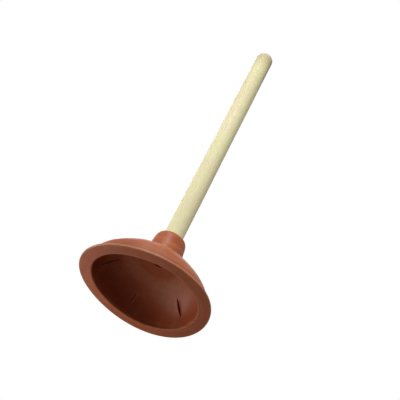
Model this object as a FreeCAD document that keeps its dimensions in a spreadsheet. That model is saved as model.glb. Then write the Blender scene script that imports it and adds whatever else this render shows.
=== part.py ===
"""Toilet plunger: a flexible rubber cup with a thick socket, pushed onto a round wooden handle.

Frame: millimetres, +Z up along the handle, origin at the centre of the cup's mouth, on the flat
face of the rim. The plunger stands on that face.

Sub-parts:
    cup_bell    the thin, flexible part of the rubber cup: flat rim, flange and dome wall
    cup_socket  the thick crown of the cup, with the boss that grips the handle
    handle      a round wooden dowel with a domed top
"""

import FreeCAD
import Part
import Sketcher
import math
import os

# Driving dimensions: alias, value in millimetres (counts are plain), meaning.
DIMENSIONS = [
    ("rim_radius", 75.5, "outer radius of the flat rim"),
    ("mouth_radius", 61.0, "inner radius of the flat rim, which is the mouth of the cup"),
    ("rim_edge", 3.0, "height of the upright outer edge of the rim"),
    ("rim_round", 1.0, "rounding of the edges of the rim"),
    ("foot_radius", 70.8, "radius where the dome rises from the flange"),
    ("foot_height", 5.2, "height where the dome rises from the flange"),
    ("dome_arc", 62.0, "radius of the arc of the dome's outer side"),
    ("joint_radius", 24.0, "radius of the face where the bell meets the socket"),
    ("joint_height", 42.6, "height of the dome's outer side at that face"),
    ("cavity_height", 39.5, "height of the cavity above the rim face, on the axis"),
    ("corner_arc", 33.0, "radius of the cavity's side, in section"),
    ("groove_count", 6, "grooves inside the cup"),
    ("groove_width", 2.0, "width of a groove"),
    ("groove_depth", 2.2, "depth of a groove at its middle"),
    ("recess_radius", 5.0, "radius of the round recess at the top of the cavity"),
    ("recess_depth", 2.6, "depth of that recess"),
    ("boss_foot_radius", 21.5, "radius of the boss where it meets the dome"),
    ("boss_foot_height", 43.0, "height where the boss meets the dome"),
    ("boss_foot_round", 2.0, "rounding between the boss and the dome"),
    ("boss_radius", 17.4, "radius of the boss at its top"),
    ("boss_height", 77.4, "height of the top of the boss"),
    ("boss_round", 4.6, "rounding of the boss's top edge"),
    ("grip_radius", 10.8, "radius of the handle's pushed-in end"),
    ("grip_clearance", 0.05, "radial gap between the socket and that end"),
    ("grip_height", 45.4, "height of the bottom of the bore"),
    ("shaft_radius", 11.0, "radius of the handle"),
    ("shaft_height", 405.6, "height where the handle's domed top begins"),
    ("handle_height", 415.0, "height of the top of the handle"),
    ("end_chamfer", 1.0, "chamfer of the handle's lower end"),
]

# Where a groove starts and ends, as angles on the arc of the cavity's side.
GROOVE_START_DEGREES = 28.0
GROOVE_END_DEGREES = 61.0

ORIGIN = (-1, 1)
X_AXIS = -1
Z_AXIS = -2

doc = FreeCAD.newDocument("toilet_plunger")
sheet = doc.addObject("Spreadsheet::Sheet", "dims")
SIZE = {}
for row, (alias, value, meaning) in enumerate(DIMENSIONS, start=1):
    sheet.set(f"A{row}", alias)
    sheet.set(f"B{row}", str(value))
    sheet.set(f"C{row}", meaning)
    sheet.setAlias(f"B{row}", alias)
    SIZE[alias] = value
doc.recompute()

# The cavity's section is an oval: an upright arc at the side and a flat arc over the top, tangent to
# each other. This is the radius of the flat one, from the oval's half width and its height.
CROWN_ARC = (
    "(dims.mouth_radius ^ 2 + dims.cavity_height ^ 2 - 2 * dims.mouth_radius * dims.corner_arc)"
    " / (2 * (dims.cavity_height - dims.corner_arc))"
)
corner_centre = SIZE["mouth_radius"] - SIZE["corner_arc"]
crown_arc = (
    (SIZE["mouth_radius"] ** 2 + SIZE["cavity_height"] ** 2 - 2 * SIZE["mouth_radius"] * SIZE["corner_arc"])
    / (2 * (SIZE["cavity_height"] - SIZE["corner_arc"]))
)
crown_centre = SIZE["cavity_height"] - crown_arc


def ceiling(radius):
    """Height of the cavity's flat upper arc at a radius."""
    return crown_centre + math.sqrt(crown_arc ** 2 - radius ** 2)


def point(x, z):
    """A point of a sketch: x is the radius and z the height."""
    return FreeCAD.Vector(x, z, 0)


def arc_between(centre, radius, start, end):
    """The arc about centre that runs anticlockwise from the direction of start to that of end."""
    start_angle = math.atan2(start[1] - centre[1], start[0] - centre[0])
    end_angle = math.atan2(end[1] - centre[1], end[0] - centre[0])
    circle = Part.Circle(point(*centre), FreeCAD.Vector(0, 0, 1), radius)
    return Part.ArcOfCircle(circle, start_angle, end_angle)


def arc_centre(start, end, radius):
    """The centre of the arc that runs anticlockwise from start to end and is less than half a turn."""
    middle = ((start[0] + end[0]) / 2, (start[1] + end[1]) / 2)
    across = (end[0] - start[0], end[1] - start[1])
    chord = math.hypot(*across)
    back = math.sqrt(radius ** 2 - chord ** 2 / 4)
    return (middle[0] - across[1] / chord * back, middle[1] + across[0] / chord * back)


def new_body(name):
    """A body whose Label names its file, at the origin of the part's frame."""
    body = doc.addObject("PartDesign::Body", name)
    body.Label = name
    body.Placement = FreeCAD.Placement()
    return body


def origin_feature(body, role):
    """One of the body's own origin planes or axes."""
    return next(feature for feature in body.Origin.OriginFeatures if feature.Role == role)


def section_sketch(body, name):
    """A sketch on the body's XZ plane: its x is the radius and its y the height."""
    sketch = body.newObject("Sketcher::SketchObject", name)
    sketch.AttachmentSupport = [(origin_feature(body, "XZ_Plane"), "")]
    sketch.MapMode = "FlatFace"
    return sketch


def drive(sketch, kind, name, expression, value, *targets):
    """A named constraint of the sketch, bound to an expression of the sheet's cells."""
    index = sketch.addConstraint(Sketcher.Constraint(kind, *targets, value))
    sketch.renameConstraint(index, name)
    sketch.setExpression(f"Constraints.{name}", expression)


def drive_point(sketch, name, target, radius, height):
    """Binds a point's radius and height to cells of the sheet. None leaves one free."""
    if radius:
        drive(sketch, "DistanceX", name + "_radius", f"dims.{radius}", SIZE[radius], *ORIGIN, *target)
    if height:
        drive(sketch, "DistanceY", name + "_height", f"dims.{height}", SIZE[height], *ORIGIN, *target)


def revolve(body, sketch, name):
    """Turns the sketch a full turn about the Z axis."""
    feature = body.newObject("PartDesign::Revolution", name)
    feature.Profile = sketch
    feature.ReferenceAxis = (sketch, ["V_Axis"])
    feature.Angle = 360
    sketch.Visibility = False
    doc.recompute()
    return feature


def circles_at(feature, radius, height):
    """Names of the feature's circular edges of that radius at that height."""
    names = []
    for number, edge in enumerate(feature.Shape.Edges, start=1):
        if edge.Degenerated or not isinstance(edge.Curve, Part.Circle):
            continue
        curve = edge.Curve
        if abs(curve.Radius - radius) < 0.01 and abs(curve.Center.z - height) < 0.01:
            names.append(f"Edge{number}")
    return names


def round_edges(body, base, name, alias, places):
    """Fillets the circular edges at the given (radius, height) places."""
    edges = []
    for radius, height in places:
        edges += circles_at(base, radius, height)
    fillet = body.newObject("PartDesign::Fillet", name)
    fillet.Base = (base, edges)
    fillet.Radius = SIZE[alias]
    fillet.setExpression("Radius", f"dims.{alias}")
    doc.recompute()
    return fillet


def make_cup_bell():
    """The flat rim, the flange and the dome wall, in one revolved section, with the grooves inside."""
    body = new_body("cup_bell")
    sketch = section_sketch(body, "bell_section")
    mouth = (SIZE["mouth_radius"], 0)
    rim = (SIZE["rim_radius"], 0)
    rim_top = (SIZE["rim_radius"], SIZE["rim_edge"])
    foot = (SIZE["foot_radius"], SIZE["foot_height"])
    shoulder = (SIZE["joint_radius"], SIZE["joint_height"])
    inner = (SIZE["joint_radius"], ceiling(SIZE["joint_radius"]))
    lean = math.atan2(-crown_centre, corner_centre)
    blend = (corner_centre + SIZE["corner_arc"] * math.cos(lean), SIZE["corner_arc"] * math.sin(lean))

    rim_face, rim_side, flange_top, dome, joint_face, crown, corner = range(7)
    sketch.addGeometry(Part.LineSegment(point(*mouth), point(*rim)), False)
    sketch.addGeometry(Part.LineSegment(point(*rim), point(*rim_top)), False)
    sketch.addGeometry(Part.LineSegment(point(*rim_top), point(*foot)), False)
    dome_centre = arc_centre(foot, shoulder, SIZE["dome_arc"])
    sketch.addGeometry(arc_between(dome_centre, SIZE["dome_arc"], foot, shoulder), False)
    sketch.addGeometry(Part.LineSegment(point(*shoulder), point(*inner)), False)
    sketch.addGeometry(arc_between((0, crown_centre), crown_arc, blend, inner), False)
    sketch.addGeometry(arc_between((corner_centre, 0), SIZE["corner_arc"], mouth, blend), False)

    for joined in [(rim_face, 2, rim_side, 1), (rim_side, 2, flange_top, 1), (flange_top, 2, dome, 1),
                   (dome, 2, joint_face, 1), (joint_face, 2, crown, 2), (corner, 1, rim_face, 1)]:
        sketch.addConstraint(Sketcher.Constraint("Coincident", *joined))
    sketch.addConstraint(Sketcher.Constraint("Tangent", corner, 2, crown, 1))
    sketch.addConstraint(Sketcher.Constraint("Horizontal", rim_face))
    sketch.addConstraint(Sketcher.Constraint("Vertical", rim_side))
    sketch.addConstraint(Sketcher.Constraint("Vertical", joint_face))
    sketch.addConstraint(Sketcher.Constraint("PointOnObject", rim_face, 1, X_AXIS))
    sketch.addConstraint(Sketcher.Constraint("PointOnObject", corner, 3, X_AXIS))
    sketch.addConstraint(Sketcher.Constraint("PointOnObject", crown, 3, Z_AXIS))
    drive_point(sketch, "mouth", (rim_face, 1), "mouth_radius", None)
    drive_point(sketch, "rim", (rim_face, 2), "rim_radius", None)
    drive_point(sketch, "edge", (rim_side, 2), None, "rim_edge")
    drive_point(sketch, "foot", (flange_top, 2), "foot_radius", "foot_height")
    drive_point(sketch, "shoulder", (dome, 2), "joint_radius", "joint_height")
    drive(sketch, "Radius", "dome_arc", "dims.dome_arc", SIZE["dome_arc"], dome)
    drive(sketch, "Radius", "corner_arc", "dims.corner_arc", SIZE["corner_arc"], corner)
    drive(sketch, "Radius", "crown_arc", CROWN_ARC, crown_arc, crown)
    base = revolve(body, sketch, "bell_revolution")

    rounded = round_edges(body, base, "rim_rounding", "rim_round",
                          [(SIZE["rim_radius"], 0), (SIZE["rim_radius"], SIZE["rim_edge"])])
    cut_grooves(body, rounded)
    return body


def cut_grooves(body, base):
    """Six short slots down the inside of the dome wall, deepest in the middle and fading at both ends."""
    start_angle = math.radians(GROOVE_START_DEGREES)
    end_angle = math.radians(GROOVE_END_DEGREES)
    half_turn = (end_angle - start_angle) / 2
    side = SIZE["corner_arc"]
    start = (corner_centre + side * math.cos(start_angle), side * math.sin(start_angle))
    end = (corner_centre + side * math.cos(end_angle), side * math.sin(end_angle))
    half_chord = side * math.sin(half_turn)
    rise = side * (1 - math.cos(half_turn)) + SIZE["groove_depth"]
    floor_arc = (half_chord ** 2 + rise ** 2) / (2 * rise)

    degrees = f"{(GROOVE_END_DEGREES - GROOVE_START_DEGREES) / 2} deg"
    chord_text = f"(dims.corner_arc * sin({degrees}))"
    rise_text = f"(dims.corner_arc * (1 - cos({degrees})) + dims.groove_depth)"
    floor_text = f"({chord_text} ^ 2 + {rise_text} ^ 2) / (2 * {rise_text})"

    sketch = section_sketch(body, "groove_section")
    floor, opening = range(2)
    sketch.addGeometry(arc_between(arc_centre(start, end, floor_arc), floor_arc, start, end), False)
    sketch.addGeometry(Part.LineSegment(point(*end), point(*start)), False)
    sketch.addConstraint(Sketcher.Constraint("Coincident", floor, 2, opening, 1))
    sketch.addConstraint(Sketcher.Constraint("Coincident", opening, 2, floor, 1))
    ends = [("start", (floor, 1), GROOVE_START_DEGREES), ("end", (floor, 2), GROOVE_END_DEGREES)]
    for name, target, angle in ends:
        turned = math.radians(angle)
        radius_text = f"dims.mouth_radius - dims.corner_arc * (1 - cos({angle} deg))"
        height_text = f"dims.corner_arc * sin({angle} deg)"
        drive(sketch, "DistanceX", name + "_radius", radius_text,
              corner_centre + side * math.cos(turned), *ORIGIN, *target)
        drive(sketch, "DistanceY", name + "_height", height_text, side * math.sin(turned), *ORIGIN, *target)
    drive(sketch, "Radius", "floor_arc", floor_text, floor_arc, floor)

    groove = body.newObject("PartDesign::Pocket", "groove")
    groove.Profile = sketch
    groove.Midplane = True
    groove.Length = SIZE["groove_width"]
    groove.setExpression("Length", "dims.groove_width")
    sketch.Visibility = False
    doc.recompute()
    one_cut = base.Shape.Volume - groove.Shape.Volume
    if one_cut <= 0:
        raise RuntimeError("the groove cuts nothing")

    pattern = body.newObject("PartDesign::PolarPattern", "grooves")
    pattern.Originals = [groove]
    pattern.Axis = (sketch, ["V_Axis"])
    pattern.Angle = 360
    pattern.Occurrences = int(SIZE["groove_count"])
    pattern.setExpression("Occurrences", "dims.groove_count")
    body.Tip = pattern
    doc.recompute()
    all_cut = base.Shape.Volume - pattern.Shape.Volume
    if abs(all_cut - SIZE["groove_count"] * one_cut) > 0.01 * all_cut:
        raise RuntimeError("a groove of the pattern is missing")


def make_cup_socket():
    """The thick crown of the cup with its boss, bored from the top for the handle."""
    body = new_body("cup_socket")
    sketch = section_sketch(body, "socket_section")
    recess_top = SIZE["cavity_height"] + SIZE["recess_depth"]
    bore_radius = SIZE["grip_radius"] + SIZE["grip_clearance"]
    recess_axis = (0, recess_top)
    recess_corner = (SIZE["recess_radius"], recess_top)
    recess_mouth = (SIZE["recess_radius"], ceiling(SIZE["recess_radius"]))
    rim_inner = (SIZE["joint_radius"], ceiling(SIZE["joint_radius"]))
    shoulder = (SIZE["joint_radius"], SIZE["joint_height"])
    boss_foot = (SIZE["boss_foot_radius"], SIZE["boss_foot_height"])
    boss_top = (SIZE["boss_radius"], SIZE["boss_height"])
    bore_top = (bore_radius, SIZE["boss_height"])
    bore_corner = (bore_radius, SIZE["grip_height"])
    bore_axis = (0, SIZE["grip_height"])

    (recess_face, recess_side, under_face, joint_face, shoulder_face, boss_side, boss_face,
     bore_side, bore_floor, axis_line) = range(10)
    sketch.addGeometry(Part.LineSegment(point(*recess_axis), point(*recess_corner)), False)
    sketch.addGeometry(Part.LineSegment(point(*recess_corner), point(*recess_mouth)), False)
    sketch.addGeometry(arc_between((0, crown_centre), crown_arc, rim_inner, recess_mouth), False)
    for start, end in [(rim_inner, shoulder), (shoulder, boss_foot), (boss_foot, boss_top),
                       (boss_top, bore_top), (bore_top, bore_corner), (bore_corner, bore_axis),
                       (bore_axis, recess_axis)]:
        sketch.addGeometry(Part.LineSegment(point(*start), point(*end)), False)

    for joined in [(recess_face, 2, recess_side, 1), (recess_side, 2, under_face, 2),
                   (under_face, 1, joint_face, 1), (joint_face, 2, shoulder_face, 1),
                   (shoulder_face, 2, boss_side, 1), (boss_side, 2, boss_face, 1),
                   (boss_face, 2, bore_side, 1), (bore_side, 2, bore_floor, 1),
                   (bore_floor, 2, axis_line, 1), (axis_line, 2, recess_face, 1)]:
        sketch.addConstraint(Sketcher.Constraint("Coincident", *joined))
    for level in (recess_face, boss_face, bore_floor):
        sketch.addConstraint(Sketcher.Constraint("Horizontal", level))
    for upright in (recess_side, joint_face, bore_side):
        sketch.addConstraint(Sketcher.Constraint("Vertical", upright))
    sketch.addConstraint(Sketcher.Constraint("PointOnObject", recess_face, 1, Z_AXIS))
    sketch.addConstraint(Sketcher.Constraint("PointOnObject", bore_floor, 2, Z_AXIS))
    sketch.addConstraint(Sketcher.Constraint("PointOnObject", under_face, 3, Z_AXIS))
    drive(sketch, "DistanceY", "recess_top", "dims.cavity_height + dims.recess_depth", recess_top,
          *ORIGIN, recess_face, 2)
    drive_point(sketch, "recess", (recess_face, 2), "recess_radius", None)
    drive(sketch, "Radius", "crown_arc", CROWN_ARC, crown_arc, under_face)
    drive(sketch, "DistanceY", "crown_centre", f"{CROWN_ARC} - dims.cavity_height", -crown_centre,
          under_face, 3, *ORIGIN)
    drive_point(sketch, "shoulder", (joint_face, 2), "joint_radius", "joint_height")
    drive_point(sketch, "boss_foot", (shoulder_face, 2), "boss_foot_radius", "boss_foot_height")
    drive_point(sketch, "boss_top", (boss_side, 2), "boss_radius", "boss_height")
    drive(sketch, "DistanceX", "bore_radius", "dims.grip_radius + dims.grip_clearance", bore_radius,
          *ORIGIN, bore_side, 2)
    drive_point(sketch, "bore_floor", (bore_side, 2), None, "grip_height")
    base = revolve(body, sketch, "socket_revolution")

    rounded = round_edges(body, base, "boss_top_rounding", "boss_round", [boss_top])
    round_edges(body, rounded, "boss_foot_rounding", "boss_foot_round", [boss_foot])
    return body


def make_handle():
    """A round dowel: a pushed-in lower end, a plain shaft and a domed top."""
    body = new_body("handle")
    sketch = section_sketch(body, "handle_section")
    dome_rise = SIZE["handle_height"] - SIZE["shaft_height"]
    dome_radius = (SIZE["shaft_radius"] ** 2 + dome_rise ** 2) / (2 * dome_rise)
    foot_axis = (0, SIZE["grip_height"])
    foot_edge = (SIZE["grip_radius"], SIZE["grip_height"])
    grip_top = (SIZE["grip_radius"], SIZE["boss_height"])
    shaft_foot = (SIZE["shaft_radius"], SIZE["boss_height"])
    shaft_top = (SIZE["shaft_radius"], SIZE["shaft_height"])
    crown_top = (0, SIZE["handle_height"])

    foot_face, grip_side, step_face, shaft_side, dome, axis_line = range(6)
    for start, end in [(foot_axis, foot_edge), (foot_edge, grip_top), (grip_top, shaft_foot),
                       (shaft_foot, shaft_top)]:
        sketch.addGeometry(Part.LineSegment(point(*start), point(*end)), False)
    dome_centre = (0, SIZE["handle_height"] - dome_radius)
    sketch.addGeometry(arc_between(dome_centre, dome_radius, shaft_top, crown_top), False)
    sketch.addGeometry(Part.LineSegment(point(*crown_top), point(*foot_axis)), False)

    for joined in [(foot_face, 2, grip_side, 1), (grip_side, 2, step_face, 1), (step_face, 2, shaft_side, 1),
                   (shaft_side, 2, dome, 1), (dome, 2, axis_line, 1), (axis_line, 2, foot_face, 1)]:
        sketch.addConstraint(Sketcher.Constraint("Coincident", *joined))
    for level in (foot_face, step_face):
        sketch.addConstraint(Sketcher.Constraint("Horizontal", level))
    for upright in (grip_side, shaft_side):
        sketch.addConstraint(Sketcher.Constraint("Vertical", upright))
    sketch.addConstraint(Sketcher.Constraint("PointOnObject", foot_face, 1, Z_AXIS))
    sketch.addConstraint(Sketcher.Constraint("PointOnObject", dome, 2, Z_AXIS))
    sketch.addConstraint(Sketcher.Constraint("PointOnObject", dome, 3, Z_AXIS))
    drive_point(sketch, "grip", (foot_face, 2), "grip_radius", "grip_height")
    drive_point(sketch, "step", (step_face, 2), "shaft_radius", "boss_height")
    drive_point(sketch, "shaft", (shaft_side, 2), None, "shaft_height")
    drive_point(sketch, "crown", (dome, 2), None, "handle_height")
    base = revolve(body, sketch, "handle_revolution")

    chamfer = body.newObject("PartDesign::Chamfer", "lower_end_chamfer")
    chamfer.Base = (base, circles_at(base, SIZE["grip_radius"], SIZE["grip_height"]))
    chamfer.Size = SIZE["end_chamfer"]
    chamfer.setExpression("Size", "dims.end_chamfer")
    doc.recompute()
    return body


def check_document(bodies):
    """Stops the script if any object failed to build or any sub-part isn't one valid solid."""
    failed = [o.Label for o in doc.Objects if "Invalid" in o.State or "Error" in o.State]
    if failed:
        raise RuntimeError(f"objects that failed to build: {failed}")
    for body in bodies:
        shape = body.Shape
        if shape.isNull() or not shape.isValid() or len(shape.Solids) != 1:
            raise RuntimeError(f"{body.Label} isn't one valid solid")


def main():
    bodies = [make_cup_bell(), make_cup_socket(), make_handle()]
    doc.recompute()
    check_document(bodies)
    os.makedirs("parts", exist_ok=True)
    for body in bodies:
        box = body.Shape.BoundBox
        print(f"{body.Label}: volume {body.Shape.Volume:.0f} mm3, radius {box.XMax:.2f},"
              f" z {box.ZMin:.2f} to {box.ZMax:.2f}")
        body.Shape.exportStep(f"parts/{body.Label}.step")


main()
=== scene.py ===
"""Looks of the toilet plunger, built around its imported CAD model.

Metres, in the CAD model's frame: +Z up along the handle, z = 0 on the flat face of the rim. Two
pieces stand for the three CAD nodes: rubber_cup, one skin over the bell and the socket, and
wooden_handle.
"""

import math

import bpy
import numpy as np
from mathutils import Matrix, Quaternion, Vector


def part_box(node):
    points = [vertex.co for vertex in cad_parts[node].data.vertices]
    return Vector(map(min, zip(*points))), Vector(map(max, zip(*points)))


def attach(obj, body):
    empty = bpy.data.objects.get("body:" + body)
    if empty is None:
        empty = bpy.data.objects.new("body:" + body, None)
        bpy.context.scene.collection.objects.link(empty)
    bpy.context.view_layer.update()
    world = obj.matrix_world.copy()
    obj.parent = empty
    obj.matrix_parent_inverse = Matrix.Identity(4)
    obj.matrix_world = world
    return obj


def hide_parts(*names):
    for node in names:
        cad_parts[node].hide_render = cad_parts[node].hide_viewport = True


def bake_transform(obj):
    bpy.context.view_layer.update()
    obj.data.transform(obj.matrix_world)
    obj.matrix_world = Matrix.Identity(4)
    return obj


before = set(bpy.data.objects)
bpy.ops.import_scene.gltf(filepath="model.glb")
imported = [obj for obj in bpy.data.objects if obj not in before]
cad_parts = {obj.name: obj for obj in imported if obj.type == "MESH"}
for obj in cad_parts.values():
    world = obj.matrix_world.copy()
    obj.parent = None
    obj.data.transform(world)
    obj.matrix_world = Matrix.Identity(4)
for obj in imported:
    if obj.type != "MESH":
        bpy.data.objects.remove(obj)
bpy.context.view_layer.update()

MM = 0.001

# Read from the CAD model's boxes.
RIM_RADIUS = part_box("cup_bell")[1].x
BOSS_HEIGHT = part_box("cup_socket")[1].z
SHAFT_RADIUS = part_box("handle")[1].x
HANDLE_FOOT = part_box("handle")[0].z
HANDLE_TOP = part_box("handle")[1].z

# The cup's section: mouth and cavity, rim, foot and crown of the dome, boss and bore.
MOUTH_RADIUS = 61.0 * MM
CAVITY_HEIGHT = 39.5 * MM
RIM_EDGE = 3.0 * MM
FOOT_RADIUS = 70.5 * MM
FOOT_HEIGHT = 4.9 * MM
CROWN_RADIUS = 21.8 * MM
CROWN_HEIGHT = 42.8 * MM
BOSS_RADIUS = 17.4 * MM
BORE_RADIUS = 10.85 * MM

# The handle's gripped end, and the height where its domed top begins.
GRIP_RADIUS = 10.8 * MM
SHAFT_END = 405.6 * MM

# Powers, in r and in z, of the ovals that the cavity, the dome and the handle's top follow.
CAVITY_POWERS = (2.4, 2.4)
DOME_POWERS = (1.6, 1.49)
CAP_POWERS = (2.35, 2.35)

# The recess in the cavity's ceiling. It lies off centre, towards this side in degrees from +X.
RECESS_RADIUS = 5.8 * MM
RECESS_DEPTH = 2.6 * MM
RECESS_SHIFT = 2.4 * MM
RECESS_SIDE = -70.0

# The grooves in the cavity's wall.
GROOVE_LOW = 14.5 * MM
GROOVE_HIGH = 30.5 * MM
GROOVE_HALF_WIDTH = 1.40 * MM
GROOVE_DEPTH = 2.4 * MM
GROOVE_LIP = 0.42 * MM

# For each groove: its turn from its even place, its lean and its bow, all in degrees, its shift up
# the wall in millimetres, and its share of the full depth.
GROOVE_SHAPES = [
    (0.6, -0.8, 0.5, 0.4, 0.8),
    (-0.6, 1.7, -1.4, -0.2, 1.0),
    (-0.4, -0.4, 0.3, -0.9, 0.26),
    (2.6, -1.0, 0.4, 1.6, 1.0),
    (-0.8, 0.7, -0.5, 0.5, 0.7),
    (0.5, -1.2, 0.4, -0.6, 0.85),
]
GROOVE_TURN = 2 * math.pi / len(GROOVE_SHAPES)

# How far the rim is out of round: at three sides, at two, and drawn in all round.
THREE_LOBES = 1.93 * MM
THREE_LOBES_TURN = 94.2
TWO_LOBES = 0.68 * MM
TWO_LOBES_TURN = 133.4
RIM_DRAWN_IN = 0.20 * MM

# How far the dome leans out between rim and crown, and towards which side, in degrees from +X.
SAG = 1.9 * MM
SAG_SIDE = 202

# Rings round the dome: depth, length and phase. Swells on it: height, count round, length, phase.
DOME_RINGS = [(0.10 * MM, 2.3 * MM, 0.0), (0.06 * MM, 0.9 * MM, 1.0)]
DOME_SWELLS = [(0.16 * MM, 2, 9 * MM, 0.0), (0.12 * MM, 5, -6 * MM, 0.7)]

# Gaps between the rows of the meshes: on the cup, along its grooves and on the handle.
CUP_GAP = 1.7 * MM
GROOVE_GAP = 0.55 * MM
HANDLE_GAP = 2.2 * MM

# Gaps between the columns of the cup, in degrees, and columns of the handle.
CUP_TURN = 1.75
CUP_TURN_AT_GROOVE = 0.27
HANDLE_COLUMNS = 120

# A streak of painted shade runs up to the handle's top on this side, in degrees from +X.
SHADE_STREAK_SIDE = 3.0
SHADE_STREAK_WIDTH = 13

DENTS = 22
DENTS_SEED = 7
FULL_DENT = 0.2 * MM


# ------------------------------------------------------------------------------------------------
# Sections of turned shapes
# ------------------------------------------------------------------------------------------------

def smooth(low, high, value):
    """0 at low, 1 at high, an even curve between them and level beyond. Either may be the larger."""
    t = np.clip((value - low) / (high - low), 0, 1)
    return t * t * (3 - 2 * t)


def near(distance, reach, power=2):
    """1 at no distance, and fading to 0 a little beyond reach. A higher power makes it boxier."""
    return np.exp(-(np.abs(distance) / reach) ** power)


def wrapped(turn):
    """The same turn, in radians, counted from half a turn back to half a turn on."""
    return (turn + math.pi) % (2 * math.pi) - math.pi


def quarter_oval(foot, top, power_r, power_z, count=240):
    """A quarter of a superellipse from foot, where it stands upright, to top, where it is level."""
    turn = np.linspace(0, math.pi / 2, count)
    r = top[0] + (foot[0] - top[0]) * np.cos(turn) ** (2 / power_r)
    z = foot[1] + (top[1] - foot[1]) * np.sin(turn) ** (2 / power_z)
    return [(a, b, 0.0) for a, b in zip(r, z)]


def soft_section(outline, step=0.15 * MM):
    """Walks a sharp outline of (r, z, rounding) points evenly and rounds the corners that ask for it.

    Each place becomes a mean of the places beside it, taken over a reach that follows the rounding.
    It returns how far along each place is, the rounded places and how far along each point is."""
    reach_share = 0.62
    fade_share = 2.2
    spread_ends = 2.4
    samples = 17
    corner = np.array(outline)
    length = np.concatenate([[0], np.cumsum(np.hypot(*np.diff(corner[:, :2], axis=0).T))])
    along = np.linspace(0, length[-1], int(length[-1] / step))
    reach = np.zeros_like(along)
    for place, rounding in zip(length, corner[:, 2]):
        if rounding > 0:
            close = near(along - place, fade_share * rounding, 4)
            reach = np.maximum(reach, reach_share * rounding * close)
    offsets = np.linspace(-spread_ends, spread_ends, samples)
    weights = np.exp(-offsets ** 2 / 2)
    weights /= weights.sum()
    soft = np.zeros((len(along), 2))
    for offset, weight in zip(offsets, weights):
        places = np.clip(along + offset * reach, 0, length[-1])
        soft[:, 0] += weight * np.interp(places, length, corner[:, 0])
        soft[:, 1] += weight * np.interp(places, length, corner[:, 1])
    soft[0] = corner[0, :2]
    soft[-1] = corner[-1, :2]
    return along, soft, length


def spread(low, high, gap_at, count=20000):
    """Places from low to high whose gaps follow gap_at, a function of the place."""
    fine = np.linspace(low, high, count)
    density = 1 / gap_at(fine)
    total = np.concatenate([[0], np.cumsum((density[1:] + density[:-1]) / 2 * np.diff(fine))])
    wanted = np.linspace(0, total[-1], int(math.ceil(total[-1])) + 1)
    return np.interp(wanted, total, fine)


def thinned_section(outline, plain_gap, extra_gap=None):
    """The rounded outline as rows of (r, z), closer together at the corners and where extra_gap asks."""
    finest_gap = 0.22 * MM
    along, soft, length = soft_section(outline)
    rounding = np.array(outline)[:, 2]

    def gap_at(place):
        gap = np.full_like(place, plain_gap)
        for corner, size in zip(length, rounding):
            if size > 0:
                close = near(place - corner, 1.8 * size, 4)
                gap = np.minimum(gap, plain_gap * (1 - close) + max(size / 3, finest_gap) * close)
        if extra_gap:
            r = np.interp(place, along, soft[:, 0])
            z = np.interp(place, along, soft[:, 1])
            gap = np.minimum(gap, extra_gap(r, z))
        return gap

    places = spread(0, length[-1], gap_at)
    r = np.interp(places, along, soft[:, 0])
    z = np.interp(places, along, soft[:, 1])
    return np.stack([r, z], axis=1)


def outward(section):
    """Unit normals of a section that is walked with the solid on its left."""
    tangent = np.gradient(section, axis=0)
    tangent /= np.linalg.norm(tangent, axis=1)[:, None]
    return np.stack([tangent[:, 1], -tangent[:, 0]], axis=1)


# ------------------------------------------------------------------------------------------------
# Meshes
# ------------------------------------------------------------------------------------------------

def turned_mesh(name, section, angles, radius, height):
    """A closed mesh from rows of a section turned about Z. Its first and last rows are on the axis.

    radius and height are arrays of a value for each inner row and each angle."""
    rows, columns = radius.shape
    x = radius * np.cos(angles)[None, :]
    y = radius * np.sin(angles)[None, :]
    ring = np.stack([x, y, height], axis=2).reshape(-1, 3)
    first = [[0, 0, section[0, 1]]]
    last = [[0, 0, section[-1, 1]]]
    points = np.concatenate([ring, first, last])
    first_index = rows * columns
    last_index = first_index + 1
    faces = []
    for row in range(rows - 1):
        low = row * columns
        high = low + columns
        for column in range(columns):
            after = (column + 1) % columns
            faces.append((low + column, low + after, high + after, high + column))
    top = (rows - 1) * columns
    for column in range(columns):
        after = (column + 1) % columns
        faces.append((first_index, after, column))
        faces.append((top + column, top + after, last_index))
    mesh = bpy.data.meshes.new(name)
    mesh.from_pydata(points.tolist(), [], faces)
    mesh.polygons.foreach_set("use_smooth", [True] * len(faces))
    mesh.update()
    return mesh


def add_attribute(mesh, name, values):
    """Stores a number, or a vector, for each vertex, for the material to read."""
    kind = "FLOAT" if values.ndim == 1 else "FLOAT_VECTOR"
    attribute = mesh.attributes.new(name, kind, "POINT")
    key = "value" if values.ndim == 1 else "vector"
    attribute.data.foreach_set(key, values.astype(np.float32).ravel())


def add_marks(mesh, columns, marks):
    """Stores marks on a turned mesh: each has its values by row, or by row and column, and its values
    at the first and the last point."""
    for name, (values, first, last) in marks.items():
        inner = np.broadcast_to(values, (len(values), columns)).ravel()
        add_attribute(mesh, name, np.concatenate([inner, [first, last]]))


def vertex_places(mesh):
    """The mesh's points as rows of x, y and z."""
    places = np.zeros(len(mesh.vertices) * 3, np.float32)
    mesh.vertices.foreach_get("co", places)
    return places.reshape(-1, 3).astype(float)


def new_object(name, mesh):
    """An object of that mesh, linked to the scene."""
    piece = bpy.data.objects.new(name, mesh)
    bpy.context.scene.collection.objects.link(piece)
    return piece


# ------------------------------------------------------------------------------------------------
# Rubber cup
# ------------------------------------------------------------------------------------------------

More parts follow.
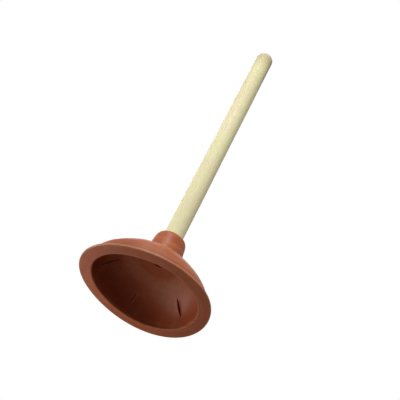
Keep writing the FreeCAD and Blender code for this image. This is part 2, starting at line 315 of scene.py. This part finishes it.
def cup_outline():
    """The cup's sharp section: from the recess's middle, past the mouth and over the dome, to the bore."""
    cavity = quarter_oval((MOUTH_RADIUS, 0), (0, CAVITY_HEIGHT), *CAVITY_POWERS)
    side = [p for p in reversed(cavity) if p[0] > RECESS_RADIUS and p[1] > 0]
    dome = quarter_oval((FOOT_RADIUS, FOOT_HEIGHT), (CROWN_RADIUS, CROWN_HEIGHT), *DOME_POWERS)
    recess_top = CAVITY_HEIGHT + RECESS_DEPTH
    return [
        (0, recess_top, 0),
        (RECESS_RADIUS - 0.4 * MM, recess_top, 0.7 * MM),
        (RECESS_RADIUS, side[0][1], 0.8 * MM),
        *side,
        (MOUTH_RADIUS, 0, 1.3 * MM),
        (RIM_RADIUS, 0, 0.9 * MM),
        (RIM_RADIUS, RIM_EDGE, 1.3 * MM),
        (FOOT_RADIUS, FOOT_HEIGHT, 1.5 * MM),
        *dome[1:-1],
        (CROWN_RADIUS, CROWN_HEIGHT, 3.2 * MM),
        (BOSS_RADIUS, BOSS_HEIGHT, 6.2 * MM),
        (BORE_RADIUS, BOSS_HEIGHT, 0.5 * MM),
        (BORE_RADIUS, HANDLE_FOOT, 0.6 * MM),
        (0, HANDLE_FOOT, 0),
    ]


def cup_row_gap(r, z):
    """The gap between rows: small on the wall beside the grooves, and plain elsewhere."""
    wall_radius = 35 * MM
    spare = 2 * MM
    inside = (r < MOUTH_RADIUS) & (z < CAVITY_HEIGHT)
    groove = inside & (z > GROOVE_LOW - spare) & (z < GROOVE_HIGH + spare) & (r > wall_radius)
    return np.where(groove, GROOVE_GAP, CUP_GAP)


def cup_columns():
    """Angles round the cup, close together across each groove."""
    half_band = math.radians(5.0)

    def gap_at(angle):
        away = np.abs((angle + GROOVE_TURN / 2) % GROOVE_TURN - GROOVE_TURN / 2)
        close = near(away, half_band, 8)
        return 1 / ((1 - close) / math.radians(CUP_TURN) + close / math.radians(CUP_TURN_AT_GROOVE))

    return spread(0, 2 * math.pi, gap_at)[:-1]


def grooves(radius, height, angles):
    """How far each point sinks into the rubber: leaf-shaped slots with a raised lip round each."""
    middle = (GROOVE_LOW + GROOVE_HIGH) / 2
    half = (GROOVE_HIGH - GROOVE_LOW) / 2
    least_width = 1e-6
    lip_away = 0.65 * MM
    lip_reach = 0.7 * MM
    sink = np.zeros((len(radius), len(angles)))
    for number, (turned, lean, bow, shift, share) in enumerate(GROOVE_SHAPES):
        along = (height - middle - shift * MM) / half
        leaf = np.clip(1 - along ** 2, 0, 1)
        bent = turned + lean * along + bow * along ** 2
        across = np.abs(radius * wrapped(angles - number * GROOVE_TURN - np.radians(bent)))
        width = GROOVE_HALF_WIDTH * leaf ** 0.7 + least_width
        cut = share * GROOVE_DEPTH * leaf ** 0.55 * smooth(1.25, 0.4, across / width)
        lip = GROOVE_LIP * leaf ** 0.5 * near(across - width - lip_away, lip_reach)
        sink += cut - lip
    return sink


def rim_lobes(radius, height, angles):
    """How far the moulding is out of round: most at the rim, less at the mouth, none up the dome."""
    mouth_share = 0.71
    three = THREE_LOBES * np.cos(3 * angles + math.radians(THREE_LOBES_TURN))
    two = TWO_LOBES * np.cos(2 * angles - math.radians(TWO_LOBES_TURN)) - RIM_DRAWN_IN
    share = mouth_share + (1 - mouth_share) * smooth(MOUTH_RADIUS, RIM_RADIUS, radius)
    fade = (1 - smooth(0, 34 * MM, height)) * smooth(8 * MM, 45 * MM, radius)
    return (three + two) * share * fade


def dome_waves(height, angles):
    """Low swells and faint rings that moulding leaves on the outside of the dome."""
    rings = 0
    for size, length, phase in DOME_RINGS:
        rings = rings + size * np.sin(height / length + phase)
    swell = 0
    for size, count, length, phase in DOME_SWELLS:
        swell = swell + size * np.sin(count * angles + height / length + phase)
    return rings + swell


def dome_sag(height, angles):
    """The soft wall leans a little to one side between the rim and the crown."""
    share = smooth(5 * MM, 20 * MM, height) * smooth(41 * MM, 30 * MM, height)
    return SAG * np.cos(angles - math.radians(SAG_SIDE)) * share


def cup_marks(r, z, sink, inside, outer):
    """For the material: edges paler by wear and painted highlight; painted shade in the cavity, the slots,
    the recess and the dome's creases, darker low on the dome; and the flat face.

    inside marks the rows in the cavity, and outer the rows past the rim's edge."""
    # Paler rubber at the rim's edge, the flange, the mouth, the boss's top, the crown's limb and the
    # groove lips: partly wear, partly painted highlight along edges that catch the light.
    edge = near(r - RIM_RADIUS, 1.2 * MM)
    flange = smooth(FOOT_RADIUS + 0.3 * MM, FOOT_RADIUS + 2.2 * MM, r) * outer
    mouth = near(np.hypot(r - MOUTH_RADIUS, z), 1.6 * MM)
    boss = near(np.hypot(r - BOSS_RADIUS + 1.5 * MM, z - BOSS_HEIGHT), 3.5 * MM)
    crown = smooth(30 * MM, 36 * MM, z) * smooth(BOSS_RADIUS + 2 * MM, BOSS_RADIUS + 8 * MM, r)
    lip = np.clip(-sink / GROOVE_LIP, 0, 1)
    wear_and_painted_highlight = np.maximum(edge, 0.8 * flange) + 0.6 * mouth + 0.4 * boss + 0.6 * crown

    face = smooth(MOUTH_RADIUS + 0.5 * MM, MOUTH_RADIUS + 2 * MM, r) * smooth(0.8 * MM, 0.1 * MM, z)
    # The recess is painted dark: painted shade.
    hole = smooth(RECESS_RADIUS + 0.8 * MM, RECESS_RADIUS - 0.2 * MM, r) * inside

    # Painted shade in the valley above the flange and at the crown's joint with the boss; the skirt is
    # darker paint low on the dome.
    valley = near(np.hypot(r - FOOT_RADIUS + 0.6 * MM, z - FOOT_HEIGHT - 0.8 * MM), 1.9 * MM)
    joint = near(np.hypot(r - CROWN_RADIUS + 2 * MM, z - CROWN_HEIGHT - 2.5 * MM), 3 * MM)
    skirt = smooth(26 * MM, 6 * MM, z) * (r < FOOT_RADIUS) * outer
    return {
        "wear_and_painted_highlight": (np.clip(wear_and_painted_highlight, 0, 1) + 0.9 * lip, 0, 0),
        # Painted shade: darker, redder rubber deeper into the cavity.
        "inside": (inside * smooth(2 * MM, 14 * MM, z), 1, 0),
        # Painted shade in the grooves and the recess.
        "slot_shade": (np.clip(sink / GROOVE_DEPTH + 0.6 * hole, 0, 1), 0.6, 0),
        "face": (face, 0, 0),
        # Painted shade in the creases, and darker low on the dome.
        "crease_shade": (np.clip(1.5 * valley + 0.55 * skirt + 0.6 * joint, 0, 1.5), 0, 0),
    }


def make_rubber_cup():
    """The whole cup as one closed skin, from the recess out to the rim, over the dome to the bore."""
    section = thinned_section(cup_outline(), CUP_GAP, cup_row_gap)
    normal = outward(section)[1:-1]
    angles = cup_columns()
    r = section[1:-1, 0][:, None]
    z = section[1:-1, 1][:, None]
    row = np.arange(len(r))[:, None]
    rim_row = int(np.argmax(r))
    cavity_foot = 1.5 * MM
    inside = (row < rim_row) & (z > cavity_foot)
    outer = row > rim_row
    dome = outer & (r > CROWN_RADIUS) & (z < CROWN_HEIGHT + 2 * MM)
    wall_share = inside * smooth(cavity_foot, 5 * MM, z)
    dome_share = dome * smooth(5 * MM, 12 * MM, z) * smooth(CROWN_RADIUS, CROWN_RADIUS + 6 * MM, r)
    shift_share = inside * smooth(0, 4 * MM, r) * smooth(16 * MM, 7 * MM, r)

    sink = grooves(r, z, angles) * wall_share
    push = dome_waves(z, angles) * dome_share - sink
    radius = r + normal[:, :1] * push + rim_lobes(r, z, angles) + dome_sag(z, angles) * outer
    radius = radius + RECESS_SHIFT * np.cos(angles - math.radians(RECESS_SIDE)) * shift_share
    height = z + normal[:, 1:] * push
    mesh = turned_mesh("rubber_cup", section, angles, radius, height)
    add_marks(mesh, len(angles), cup_marks(r, z, sink, inside, outer))

    places = vertex_places(mesh)
    turn = np.arctan2(places[:, 1], places[:, 0])
    wander = 3 * MM * np.sin(turn + 0.6)
    rings = np.stack([np.hypot(places[:, 0], places[:, 1]), places[:, 2], wander], axis=1)
    add_attribute(mesh, "rings", rings)
    add_attribute(mesh, "place", places)
    return new_object("rubber_cup", mesh)


# ------------------------------------------------------------------------------------------------
# Wooden handle
# ------------------------------------------------------------------------------------------------

def handle_outline():
    """The handle's sharp section, from its foot up the gripped end and the shaft to its domed top."""
    chamfer = 1.0 * MM
    cap = quarter_oval((SHAFT_RADIUS, SHAFT_END), (0, HANDLE_TOP), *CAP_POWERS, 60)
    return [
        (0, HANDLE_FOOT, 0),
        (GRIP_RADIUS - chamfer, HANDLE_FOOT, 0.3 * MM),
        (GRIP_RADIUS, HANDLE_FOOT + chamfer, 0.3 * MM),
        (GRIP_RADIUS, BOSS_HEIGHT, 0.2 * MM),
        (SHAFT_RADIUS, BOSS_HEIGHT + 0.3 * MM, 0.2 * MM),
        *cap,
    ]


def handle_dents(z, angles):
    """How deep each point lies in small dents, at random places on the shaft."""
    dents = np.zeros((len(z), len(angles)))
    draw = np.random.default_rng(DENTS_SEED)
    for _ in range(DENTS):
        side = draw.uniform(0, 2 * math.pi)
        place = draw.uniform(BOSS_HEIGHT + 20 * MM, SHAFT_END)
        size = draw.uniform(1.2, 3.2) * MM
        deep = draw.uniform(0.08, 0.22) * MM
        upright = draw.uniform(0.4, 1.0)
        across = wrapped(angles - side) * SHAFT_RADIUS
        dents += deep * near(np.hypot(across, (z - place) * upright), size)
    return dents


def handle_marks(z, angles, dents):
    """For the material: the gripped end, the dents, a streak of painted shade down one side near the top,
    and painted shade growing towards the top.
    """
    grip = 1 - smooth(BOSS_HEIGHT - 4 * MM, BOSS_HEIGHT + 1.5 * MM, z)
    starts = smooth(SHAFT_END - 62 * MM, SHAFT_END - 30 * MM, z)
    ends = smooth(SHAFT_END + 2 * MM, SHAFT_END - 4 * MM, z)
    across = near(wrapped(angles - math.radians(SHADE_STREAK_SIDE)), math.radians(SHADE_STREAK_WIDTH))
    # Painted shade, growing towards the handle's top.
    upper_shade = smooth(265 * MM, 350 * MM, z)
    top_end_shade = smooth(SHAFT_END - 26 * MM, SHAFT_END, z)
    return {
        "grip": (grip, 1, 0),
        "dent": (np.clip(dents / FULL_DENT, 0, 1), 0, 0),
        # Painted shade: a dark streak down one side of the shaft near its top.
        "streak": (across * (starts * ends), 0, 0),
        # Painted shade: darker towards the handle's top.
        "top_shade": (0.30 * upper_shade + 0.70 * top_end_shade, 0, 1),
    }


def make_wooden_handle():
    """A dowel with the marks of turning and handling: faint flats, long swells and small dents."""
    section = thinned_section(handle_outline(), HANDLE_GAP)
    angles = np.linspace(0, 2 * math.pi, HANDLE_COLUMNS, endpoint=False)
    r = section[1:-1, 0][:, None]
    z = section[1:-1, 1][:, None]
    free = smooth(BOSS_HEIGHT + 1 * MM, BOSS_HEIGHT + 12 * MM, z) * smooth(0, 8 * MM, r)
    swell = 0.07 * MM * np.sin(2 * angles + z / (61 * MM)) + 0.06 * MM * np.sin(z / (23 * MM) + 1)
    flats = 0.03 * MM * np.cos(9 * angles + 0.8 * np.sin(z / (40 * MM)))
    dents = handle_dents(z, angles)
    radius = r + free * (swell + flats - dents)
    height = np.broadcast_to(z, radius.shape)
    mesh = turned_mesh("wooden_handle", section, angles, radius, height)
    add_marks(mesh, len(angles), handle_marks(z, angles, dents * free))
    add_attribute(mesh, "place", vertex_places(mesh))
    return new_object("wooden_handle", mesh)


# ------------------------------------------------------------------------------------------------
# Materials
# ------------------------------------------------------------------------------------------------

WHITE = (1, 1, 1, 1)
BLACK = (0, 0, 0, 1)

RUBBER_COLOURS = {
    "dark pigment": (0.345, 0.080, 0.028, 1),
    "light pigment": (0.425, 0.109, 0.038, 1),
    "blotch": (0.460, 0.136, 0.052, 1),
    "dark ring": (0.27, 0.066, 0.024, 1),
    "light ring": (0.52, 0.165, 0.066, 1),
    "grain": (0.26, 0.055, 0.021, 1),
    # Painted shade deep in the cavity: darker, redder rubber.
    "inside": (0.345, 0.060, 0.018, 1),
    "face": (0.59, 0.138, 0.044, 1),
    "bloom": (0.47, 0.26, 0.14, 1),
    # Paler edges: partly wear, partly painted highlight.
    "worn_and_painted_highlight": (0.60, 0.27, 0.15, 1),
    # Painted shade for the creases and the lower dome.
    "crease_shade": (0.17, 0.050, 0.022, 1),
    # Painted shade in the grooves and the recess.
    "slot_shade": (0.10, 0.012, 0.005, 1),
}

WOOD_COLOURS = {
    "light band": (0.758, 0.720, 0.440, 1),
    "dark band": (0.716, 0.654, 0.370, 1),
    "fibre": (0.655, 0.570, 0.315, 1),
    "pinkish": (0.755, 0.618, 0.440, 1),
    "greenish": (0.695, 0.697, 0.400, 1),
    "pore": (0.50, 0.38, 0.20, 1),
    "dent": (0.60, 0.48, 0.28, 1),
    # Painted shade towards the handle's top.
    "top shade": (0.52, 0.445, 0.250, 1),
    # Painted shade for the streak down one side near the top.
    "streak": (0.24, 0.13, 0.065, 1),
    "rubber stain": (0.42, 0.20, 0.11, 1),
}


class Shading:
    """The nodes of a material or a world. A socket is given a number, a colour or a node's output."""

    def __init__(self, owner):
        owner.use_nodes = True
        self.owner = owner
        self.nodes = owner.node_tree.nodes
        self.links = owner.node_tree.links
        self.nodes.clear()

    def add(self, kind, sockets=None, **settings):
        """A new node of that kind, with its settings and its input sockets filled in."""
        made = self.nodes.new("ShaderNode" + kind)
        for key, value in settings.items():
            setattr(made, key, value)
        for key, value in (sockets or {}).items():
            if isinstance(value, bpy.types.NodeSocket):
                self.links.new(value, made.inputs[key])
            else:
                made.inputs[key].default_value = value
        return made

    def attribute(self, name, output="Fac"):
        return self.add("Attribute", attribute_name=name).outputs[output]

    def scaled(self, vector, scale):
        return self.add("Mapping", {"Vector": vector, "Scale": scale}).outputs[0]

    def noise(self, vector, scale, detail=3.0, roughness=0.5, distortion=0.0):
        sockets = {"Vector": vector, "Scale": scale, "Detail": detail, "Roughness": roughness,
                   "Distortion": distortion}
        return self.add("TexNoise", sockets).outputs[0]

    def between(self, value, low, high, new_low=0.0, new_high=1.0, curve="LINEAR"):
        """value carried from the range low to high into new_low to new_high, and kept inside it."""
        sockets = {"Value": value, "From Min": low, "From Max": high, "To Min": new_low,
                   "To Max": new_high}
        return self.add("MapRange", sockets, clamp=True, interpolation_type=curve).outputs[0]

    def maths(self, operation, a, b):
        return self.add("Math", {0: a, 1: b}, operation=operation).outputs[0]

    def times(self, a, b):
        return self.maths("MULTIPLY", a, b)

    def mix(self, share, a, b):
        """Colours a and b mixed by share."""
        return self.add("Mix", {0: share, 6: a, 7: b}, data_type="RGBA").outputs[2]

    def bump(self, height, strength, distance, normal=None):
        sockets = {"Height": height, "Strength": strength, "Distance": distance}
        if normal:
            sockets["Normal"] = normal
        return self.add("Bump", sockets).outputs[0]

    def surface(self, sockets):
        """Ends the nodes in a Principled surface and gives back the material."""
        shader = self.add("BsdfPrincipled", sockets)
        self.add("OutputMaterial", {"Surface": shader.outputs[0]})
        return self.owner


def rubber():
    """Brick-red moulded rubber: mottled pigment, dusty bloom, edges paler by wear and painted highlight,
    painted shade in hollows and creases, and a fine satin grain.
    """
    f = Shading(bpy.data.materials.new("rubber"))
    colour = RUBBER_COLOURS
    place = f.attribute("place", "Vector")
    wear_and_painted_highlight = f.attribute("wear_and_painted_highlight")
    slot_shade = f.attribute("slot_shade")
    inside = f.attribute("inside")
    rings = f.attribute("rings", "Vector")

    cloud = f.noise(place, 26.0, 4.0, 0.55, 0.6)
    blotch = f.noise(place, 90.0, 3.0, 0.6)
    grain = f.noise(place, 1400.0, 2.0, 0.6)
    streak = f.noise(rings, 330.0, 3.0, 0.6, 0.4)
    bloom = f.noise(place, 45.0, 5.0, 0.65)
    scuff = f.noise(place, 170.0, 4.0, 0.7)
    patch = f.noise(place, 120.0, 3.0, 0.5)
    bumps = f.noise(place, 210.0, 3.0, 0.55)

    outer = f.between(inside, 0.0, 0.4, 1.0, 0.25)
    dark_ring = f.times(f.between(streak, 0.50, 0.66, 0.0, 0.60), outer)
    light_ring = f.times(f.between(streak, 0.48, 0.34, 0.0, 0.65), outer)
    # Paler edges, partly wear and partly painted highlight.
    worn_and_painted_highlight = f.times(f.times(wear_and_painted_highlight, f.between(scuff, 0.30, 0.60, 0.35, 1.0)), 0.46)
    base = f.mix(f.between(cloud, 0.35, 0.68), colour["dark pigment"], colour["light pigment"])
    base = f.mix(f.between(blotch, 0.45, 0.75, 0.0, 0.40), base, colour["blotch"])
    base = f.mix(dark_ring, base, colour["dark ring"])
    base = f.mix(light_ring, base, colour["light ring"])
    base = f.mix(f.between(grain, 0.3, 0.75, 0.0, 0.20), base, colour["grain"])
    # Painted shade: darker, redder rubber deeper into the cavity.
    base = f.mix(f.times(inside, 0.60), base, colour["inside"])
    base = f.mix(f.times(f.attribute("face"), 0.36), base, colour["face"])
    base = f.mix(f.between(bloom, 0.50, 0.76, 0.0, 0.16), base, colour["bloom"])
    base = f.mix(worn_and_painted_highlight, base, colour["worn_and_painted_highlight"])
    # Painted shade in the creases, and darker low on the dome.
    base = f.mix(f.times(f.attribute("crease_shade"), 0.50), base, colour["crease_shade"])
    # Painted shade: near-black in the grooves and the recess.
    base = f.mix(f.between(slot_shade, 0.12, 0.8, 0.0, 0.75), base, colour["slot_shade"])

    patchy = f.between(patch, 0.3, 0.75, 0.42, 0.54)
    rough = f.maths("SUBTRACT", patchy, f.times(inside, 0.05))
    fine = f.bump(grain, 0.28, 0.12 * MM)
    swell = f.bump(bumps, 0.22, 0.35 * MM, fine)
    return f.surface({
        "Base Color": base,
        "Roughness": rough,
        "Specular IOR Level": 0.36,
        "Specular Tint": (1.0, 0.84, 0.69, 1),
        "Normal": swell,
    })


def wood():
    """A pale cream dowel: long fibres, soft growth bands, short pores, pinkish and greenish patches."""
    f = Shading(bpy.data.materials.new("wood"))
    colour = WOOD_COLOURS
    place = f.attribute("place", "Vector")
    grip = f.attribute("grip")
    dent = f.attribute("dent")

    fibres = f.noise(f.scaled(place, (1.0, 1.0, 0.02)), 1500.0, 4.0, 0.6)
    drift = f.noise(f.scaled(place, (1.0, 1.0, 0.12)), 60.0, 3.0, 0.5)
    bent = f.add("VectorMath", {0: f.scaled(place, (1.0, 0.55, 0.035)), 1: drift}, operation="ADD")
    wave = {"Vector": bent.outputs[0], "Scale": 85.0, "Distortion": 2.2, "Detail": 2.0,
            "Detail Scale": 1.6}
    bands = f.add("TexWave", wave, wave_type="BANDS", bands_direction="X").outputs["Fac"]
    pores = f.noise(f.scaled(place, (1.0, 1.0, 0.045)), 2600.0, 2.0, 0.5)
    patch = f.noise(f.scaled(place, (1.0, 1.0, 0.5)), 36.0, 3.0, 0.5)
    tint = f.noise(f.scaled(place, (1.0, 1.0, 0.4)), 60.0, 2.0, 0.5)

    stain = f.times(grip, f.between(patch, 0.3, 0.7, 0.15, 0.45))
    base = f.mix(f.between(bands, 0.25, 0.95), colour["light band"], colour["dark band"])
    base = f.mix(f.between(fibres, 0.42, 0.78, 0.0, 0.45), base, colour["fibre"])
    base = f.mix(f.between(patch, 0.50, 0.68, 0.0, 0.55), base, colour["pinkish"])
    base = f.mix(f.between(tint, 0.52, 0.70, 0.0, 0.45), base, colour["greenish"])
    base = f.mix(f.between(pores, 0.66, 0.80, 0.0, 0.35), base, colour["pore"])
    base = f.mix(f.times(dent, 0.25), base, colour["dent"])
    # Painted shade: darker towards the handle's top.
    base = f.mix(f.attribute("top_shade"), base, colour["top shade"])
    # Painted shade: a dark streak down one side near the top.
    base = f.mix(f.times(f.attribute("streak"), 0.60), base, colour["streak"])
    base = f.mix(stain, base, colour["rubber stain"])

    rough = f.between(fibres, 0.3, 0.8, 0.56, 0.70)
    grain = f.bump(fibres, 0.16, 0.10 * MM)
    pitted = f.bump(f.between(pores, 0.62, 0.8, 1.0, 0.0), 0.16, 0.10 * MM, grain)
    return f.surface({
        "Base Color": base,
        "Roughness": rough,
        "Specular IOR Level": 0.34,
        "Normal": pitted,
    })


def studio_floor():
    """Pale floor that fades to the white room, seen from above only: it hides nothing seen from below."""
    fade_start = 0.35
    f = Shading(bpy.data.materials.new("studio_floor"))
    place = f.add("TexCoord").outputs["Object"]
    away = f.add("VectorMath", {0: place}, operation="LENGTH").outputs["Value"]
    tone = f.between(away, fade_start, 3.2, 0.66, 1.0)
    glow = f.add("Emission", {"Color": WHITE, "Strength": tone}).outputs[0]
    share = f.between(away, fade_start, 1.5, 0.22, 0.0)
    matt = f.add("BsdfDiffuse", {"Color": f.mix(share, BLACK, WHITE)}).outputs[0]
    above = f.add("AddShader", {0: glow, 1: matt}).outputs[0]
    clear = f.add("BsdfTransparent").outputs[0]
    under = f.add("NewGeometry").outputs["Backfacing"]
    both = f.add("MixShader", {0: under, 1: above, 2: clear})
    f.add("OutputMaterial", {"Surface": both.outputs[0]})
    return f.owner


# ------------------------------------------------------------------------------------------------
# Camera, lights and floor
# ------------------------------------------------------------------------------------------------

# Places round the object are an azimuth and an elevation, in degrees, as direction() reads them.
CAMERA_AZIMUTH = 20.35
CAMERA_ELEVATION = -37.86
CAMERA_ROLL = 26.97
CAMERA_DISTANCE = 977.6 * MM
CAMERA_LENS = 75.9
CAMERA_SENSOR = 36
CAMERA_AIM = Vector((7.35, 2.65, 144.7)) * MM

# Round area lights: name, azimuth, elevation, distance, diameter, power, and the height aimed at.
SOFTBOXES = [
    ("picture_top", -5, 45, 1.2, 0.38, 9.4, 0.10),
    ("front_left", -30, 12, 2.4, 1.4, 17.5, 0.20),
    ("front_right", 67, 4, 1.8, 1.1, 10.0, 0.25),
    ("left", -85, 12, 2.4, 1.2, 15.5, 0.20),
    ("low_left", -95, -52, 0.35, 0.30, 0.36, 0.02),
    ("side_left", -86, -23, 0.60, 0.13, 0.46, 0.02),
    ("low_back", -120, -30, 0.35, 0.18, 0.18, 0.02),
    ("behind", 205, 42, 2.4, 1.4, 7.0, 0.10),
]

# Light from the room, above and below the horizon, with the heights between which it changes.
ROOM_HIGH = 0.30
ROOM_LOW = 0.072
HORIZON = (-0.1, 0.5)

# The white wall behind the plunger: its direction, its brightness and how soft its edge is.
WALL_SIDE = (200.0, 30.0)
WALL_LIGHT = 0.26
WALL_EDGE = (0.30, 0.90)

FLOOR_RADIUS = 3.6
FLOOR_SIDES = 64
FLOOR_DROP = 0.3 * MM


def direction(azimuth, elevation):
    """Unit vector towards a place round the object: azimuth 0 is in front, at -Y, and 90 at +X."""
    a = math.radians(azimuth)
    e = math.radians(elevation)
    return Vector((math.sin(a) * math.cos(e), -math.cos(a) * math.cos(e), math.sin(e)))


def make_camera():
    back = direction(CAMERA_AZIMUTH, CAMERA_ELEVATION)
    data = bpy.data.cameras.new("camera")
    data.lens = CAMERA_LENS
    data.sensor_width = CAMERA_SENSOR
    data.clip_start = 0.01
    data.clip_end = 50
    camera = bpy.data.objects.new("camera", data)
    camera.rotation_mode = "QUATERNION"
    camera.location = CAMERA_AIM + back * CAMERA_DISTANCE
    upright = (-back).to_track_quat("-Z", "Y")
    camera.rotation_quaternion = upright @ Quaternion((0, 0, 1), math.radians(CAMERA_ROLL))
    bpy.context.scene.collection.objects.link(camera)
    bpy.context.scene.camera = camera


def make_lights():
    for name, azimuth, elevation, distance, size, power, aim_height in SOFTBOXES:
        data = bpy.data.lights.new(name, "AREA")
        data.shape = "DISK"
        data.size = size
        data.energy = power
        light = bpy.data.objects.new(name, data)
        towards = direction(azimuth, elevation)
        light.location = Vector((0, 0, aim_height)) + towards * distance
        light.rotation_mode = "QUATERNION"
        light.rotation_quaternion = towards.to_track_quat("Z", "Y")
        bpy.context.scene.collection.objects.link(light)


def make_world():
    """White to the camera. To everything else it is a bright room above and a dim one below."""
    sky = Shading(bpy.data.worlds.new("studio"))
    towards = sky.add("TexCoord").outputs["Generated"]
    height = sky.add("SeparateXYZ", {0: towards}).outputs["Z"]
    room = sky.between(height, *HORIZON, ROOM_LOW, ROOM_HIGH, "SMOOTHSTEP")
    facing = sky.add("VectorMath", {0: towards, 1: direction(*WALL_SIDE)}, operation="DOT_PRODUCT")
    wall = sky.between(facing.outputs["Value"], *WALL_EDGE, 0.0, WALL_LIGHT, "SMOOTHSTEP")
    light = sky.add("Background", {"Color": WHITE, "Strength": sky.maths("ADD", room, wall)})
    seen = sky.add("Background", {"Color": WHITE})
    to_camera = sky.add("LightPath").outputs["Is Camera Ray"]
    both = sky.add("MixShader", {0: to_camera, 1: light.outputs[0], 2: seen.outputs[0]})
    sky.add("OutputWorld", {"Surface": both.outputs[0]})
    bpy.context.scene.world = sky.owner


def make_floor():
    """A wide flat disc just under the rim. It casts nothing on the plunger and mirrors in nothing."""
    points = [(0, 0, 0)]
    for side in range(FLOOR_SIDES):
        turn = 2 * math.pi * side / FLOOR_SIDES
        points.append((FLOOR_RADIUS * math.cos(turn), FLOOR_RADIUS * math.sin(turn), 0))
    faces = [(0, 1 + side, 1 + (side + 1) % FLOOR_SIDES) for side in range(FLOOR_SIDES)]
    mesh = bpy.data.meshes.new("studio_floor")
    mesh.from_pydata(points, [], faces)
    mesh.update()
    floor = new_object("studio_floor", mesh)
    floor.location.z = -FLOOR_DROP
    floor.data.materials.append(studio_floor())
    floor.visible_diffuse = False
    floor.visible_glossy = False
    floor.visible_transmission = False
    floor.visible_shadow = False


# ------------------------------------------------------------------------------------------------
# Assembly
# ------------------------------------------------------------------------------------------------

make_camera()
make_lights()
make_world()
make_floor()
bpy.context.scene.view_settings.view_transform = "Standard"

cup = make_rubber_cup()
cup.data.materials.append(rubber())
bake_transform(cup)
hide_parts("cup_bell", "cup_socket")

handle = make_wooden_handle()
handle.data.materials.append(wood())
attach(handle, "handle")
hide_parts("handle")
